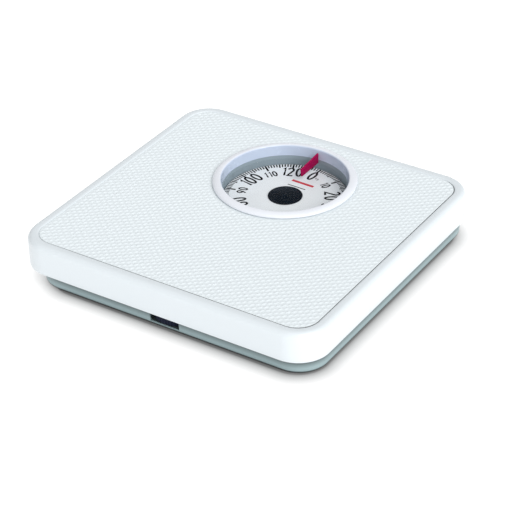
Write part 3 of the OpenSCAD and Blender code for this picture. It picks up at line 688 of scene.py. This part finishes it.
def build_dial_print():
    """Kilogram divisions and numerals, laid on the disc as a thin film of ink."""
    low, high = disc_high.z + 0.005 * MM, disc_high.z + 0.05 * MM
    mesh = Mesh()
    for kg in range(130):
        angle = ZERO_TURN + kg * KG_TURN
        if kg % 20 == 0:
            inner, width = 49.6 * MM, 1.8 * MM
        elif kg % 10 == 0:
            inner, width = 46.8 * MM, 1.9 * MM
        elif kg % 5 == 0:
            inner, width = 50.4 * MM, 1.5 * MM
        else:
            inner, width = 51.6 * MM, 1.3 * MM
        tick = [on_dial(0, inner, angle), on_dial(0, TICK_OUT, angle)]
        mesh.add(ribbon(tick, width, low, high))
    for kg in range(0, 130, 10):
        style = LARGE if kg % 20 == 0 else SMALL
        print_number(mesh, str(kg), ZERO_TURN + kg * KG_TURN, style, low, high)
    for points in unit_strokes():
        mesh.add(ribbon([on_dial(px, py, ZERO_TURN) for px, py in points], 0.35 * MM, low, high))
    thin_rule = [on_dial(-9.5 * MM, 18.6 * MM, 1.5), on_dial(9.5 * MM, 18.6 * MM, 1.5)]
    mesh.add(ribbon(thin_rule, 1.0 * MM, low, high))
    piece = make_piece("dial_print", mesh.verts, mesh.faces, INK, "dial", crease=30)
    red = Mesh()
    red_rule = [on_dial(-10 * MM, 26.8 * MM, 1.5), on_dial(13 * MM, 26.8 * MM, 1.5)]
    red.add(ribbon(red_rule, 3 * MM, low, high))
    piece = make_piece("dial_red_rule", red.verts, red.faces, RED_INK, "dial", crease=30)


def unit_strokes():
    """The letters kg beside the zero, in small strokes."""
    x, y, s = 5.0 * MM, 40.6 * MM, 1.1 * MM
    k = [[(x, y + s * 1.6), (x, y - s)], [(x + s, y + s * 0.6), (x, y - s * 0.1), (x + s, y - s)]]
    gx = x + 2.2 * s
    g = [[(gx + a, y + b) for a, b in arc(0, -0.2 * s, 0.6 * s, 0.75 * s, 0, 360, 16)],
         [(gx + 0.6 * s, y + 0.6 * s), (gx + 0.6 * s, y - 1.5 * s), (gx, y - 1.9 * s),
          (gx - 0.5 * s, y - 1.7 * s)]]
    return k + g


def build_disc():
    """Thin dial disc with softened edges."""
    soft = 0.2 * MM
    low, high, bore = disc_low.z, disc_high.z, 4.05 * MM
    profile = [(bore, low), (disc_r - soft, low), (disc_r, low + soft), (disc_r, high - soft),
               (disc_r - soft, high), (bore, high)]
    verts, faces = revolve(profile, 192, x=dial_x, y=dial_y)
    piece = make_piece("dial_plate", verts, faces, DISC, "dial", crease=30)
    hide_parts("dial_disc")


def build_cap():
    """Domed centre cap with a narrow rolled rim."""
    low, high = cap_low.z, cap_high.z
    rim = 1.1 * MM
    profile = [(4.5 * MM, low + 0.9 * MM), (4.5 * MM, low), (cap_r - 0.2 * MM, low)]
    profile += arc(cap_r - 0.7 * MM, low + rim - 0.6 * MM, 0.7 * MM, 0.6 * MM, -20, 80, 8)
    crown = cap_r - 1.2 * MM
    for k in range(12, -1, -1):
        t = max(k / 12, 0.002)
        profile.append((crown * t, low + rim - 0.1 * MM + (high - low - rim + 0.1 * MM) * (1 - t * t)))
    verts, faces = revolve(profile, 128, closed=False, x=dial_x, y=dial_y)
    piece = make_piece("centre_cap", verts, faces, CAP, "dial", crease=30)
    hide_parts("hub_cap")


# ---- springs ----

def helix(centre, axis, start, end, radius, wire, turns, steps=28, sides=12):
    """Round wire wound along x, y or z from start to end."""
    axis_index = "xyz".index(axis)
    total = int(turns * steps)
    path = []
    for i in range(total + 1):
        a = 2 * math.pi * i / steps
        along = start + wire + (end - start - 2 * wire) * i / total
        point = [0.0, 0.0, 0.0]
        point[axis_index] = along
        point[(axis_index + 1) % 3] = centre[(axis_index + 1) % 3] + radius * math.cos(a)
        point[(axis_index + 2) % 3] = centre[(axis_index + 2) % 3] + radius * math.sin(a)
        path.append(point)
    return tube_along(path, wire, sides)


def build_springs():
    """Real coils in place of the plain spring solids; each stretches between the parts it joins."""
    centre = (spring_low + spring_high) / 2
    top = spring_high.z - 1.2 * MM        # room for the adjuster lever at its lowest
    verts, faces = helix(centre, "z", spring_low.z, top, coil_mean_r, coil_wire_r, 5.4)
    main = make_piece("main_spring_coil", verts, faces, WIRE, crease=60)
    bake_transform(main)
    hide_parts("main_spring")

    centre = (rack_spring_low + rack_spring_high) / 2
    radius = (rack_spring_high.x - rack_spring_low.x) / 2
    verts, faces = helix(centre, "y", rack_spring_low.y, rack_spring_high.y, radius - 0.25 * MM,
                         0.22 * MM, 44, steps=16, sides=6)
    light = make_piece("rack_spring_coil", verts, faces, WIRE, crease=60)
    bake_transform(light)
    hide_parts("rack_spring")

    low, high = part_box("retaining_springs")
    holders = Mesh()
    for sx in (-1, 1):
        for sy in (-1, 1):
            place = (sx * (high.x - 3 * MM), sy * (high.y - 3 * MM), 0)
            holders.add(helix(place, "z", low.z, high.z, 2.6 * MM, 0.4 * MM, 18, steps=16, sides=8))
    hold = make_piece("retaining_spring_coils", holders.verts, holders.faces, WIRE, crease=60)
    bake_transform(hold)
    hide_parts("retaining_springs")


# ---- camera, floor and light ----

SKY = 0.55                        # strength of the white surroundings
KEY = 2.1                         # watts per square metre square on
KEY_SPREAD = 45                   # degrees across
KEY_FROM = (0.68, -0.32, 0.66)    # direction of the key light, seen from the scale
LIT_SIDE = 12 * MM                # the painted contact shadow starts this far in at the left and the rear
RIGHT_EASE = 1.2 * MM             # and this far in at the right
GLOW_REACH = 60 * MM              # both ramps run this far out from the tray's wall
# Strength of the painted glow, and the floor's grey that paints the contact shadow, by distance from the
# tray's wall
GLOW = ((0, 0.0), (1.2 * MM, 0.15), (4 * MM, 0.28), (10 * MM, 0.52), (15 * MM, 0.66), (25 * MM, 0.85))
FLOOR_TONE = ((0, 0.3), (5 * MM, 0.4), (60 * MM, 0.4))


def build_camera():
    """Camera at the photograph's viewing angle: above and to the right of the front."""
    azimuth, elevation, roll = (math.radians(a) for a in (33.61, 33.11, -1.51))
    aim = Vector((0, 0, 0.0284))
    distance, aside, above = 1.7003, 0.00547, -0.02868
    back = Vector((math.sin(azimuth) * math.cos(elevation),
                   -math.cos(azimuth) * math.cos(elevation), math.sin(elevation)))
    level = Vector((math.cos(azimuth), math.sin(azimuth), 0))
    upright = back.cross(level)
    right = level * math.cos(roll) + upright * math.sin(roll)
    up = upright * math.cos(roll) - level * math.sin(roll)
    data = bpy.data.cameras.new("camera")
    data.sensor_width = 36
    data.lens = 135.468
    data.clip_start, data.clip_end = 0.05, 50
    camera = bpy.data.objects.new("camera", data)
    bpy.context.scene.collection.objects.link(camera)
    place = aim + back * distance + right * aside + up * above
    camera.matrix_world = Matrix((
        (right.x, up.x, back.x, place.x), (right.y, up.y, back.y, place.y),
        (right.z, up.z, back.z, place.z), (0, 0, 0, 1)))
    bpy.context.scene.camera = camera


def build_floor():
    """Pale floor: its material paints a narrow contact shadow and glows to white further out, though it is
    no lamp.
    """
    size = 6.0
    material = new_material("floor", (0.93, 0.93, 0.93), 0.95, Specular_IOR_Level=0.0)
    links = material.node_tree.links
    shader = material.node_tree.nodes["Principled BSDF"]
    shader.inputs["Emission Color"].default_value = (1, 1, 1, 1)
    place = node(material, "ShaderNodeTexCoord")
    centred = node(material, "ShaderNodeVectorMath", operation="SUBTRACT")
    middle = (tray_low + tray_high) / 2 + Vector((LIT_SIDE / 2 - RIGHT_EASE / 2, -LIT_SIDE / 2, 0))
    centred.inputs[1].default_value = (middle.x, middle.y, 0)
    folded = node(material, "ShaderNodeVectorMath", operation="ABSOLUTE")
    core = (tray_high - tray_low) / 2 - Vector((tray_corner_r, tray_corner_r, 0))
    core -= Vector((LIT_SIDE / 2 + RIGHT_EASE / 2, LIT_SIDE / 2, 0))
    from_core = node(material, "ShaderNodeVectorMath", operation="SUBTRACT")
    from_core.inputs[1].default_value = (core.x, core.y, 0)
    outside = node(material, "ShaderNodeVectorMath", operation="MAXIMUM")
    outside.inputs[1].default_value = (0, 0, 0)
    reach = node(material, "ShaderNodeVectorMath", operation="LENGTH")
    links.new(place.outputs["Object"], centred.inputs[0])
    links.new(centred.outputs[0], folded.inputs[0])
    links.new(folded.outputs[0], from_core.inputs[0])
    links.new(from_core.outputs[0], outside.inputs[0])
    links.new(outside.outputs[0], reach.inputs[0])
    for socket, stops in (("Emission Strength", GLOW), ("Base Color", FLOOR_TONE)):
        from_wall = [(tray_corner_r + away, value) for away, value in stops]
        color = ramp_over(material, reach.outputs["Value"], from_wall,
                          tray_corner_r, tray_corner_r + GLOW_REACH)
        links.new(color, shader.inputs[socket])
    floor = make_piece("floor", [(-size, -size, 0), (size, -size, 0), (size, size, 0), (-size, size, 0)],
                       [(0, 1, 2, 3)], material)


def build_light():
    """Even white surroundings and one broad soft source from the right of the front."""
    world = bpy.data.worlds.new("studio")
    bpy.context.scene.world = world
    world.use_nodes = True
    background = world.node_tree.nodes["Background"]
    background.inputs["Color"].default_value = (1, 1, 1, 1)
    background.inputs["Strength"].default_value = SKY
    data = bpy.data.lights.new("key", "SUN")
    data.angle = math.radians(KEY_SPREAD)
    data.energy = KEY
    key = bpy.data.objects.new("key", data)
    bpy.context.scene.collection.objects.link(key)
    key.rotation_euler = Vector(KEY_FROM).to_track_quat("Z", "Y").to_euler()
    bpy.context.scene.view_settings.view_transform = "Standard"


finish_cad_nodes()
build_cover()
build_seam()
build_mat()
build_bezel()
build_window()
build_liner()
build_pointer()
build_disc()
build_dial_print()
build_cap()
build_springs()
build_camera()
build_floor()
build_light()
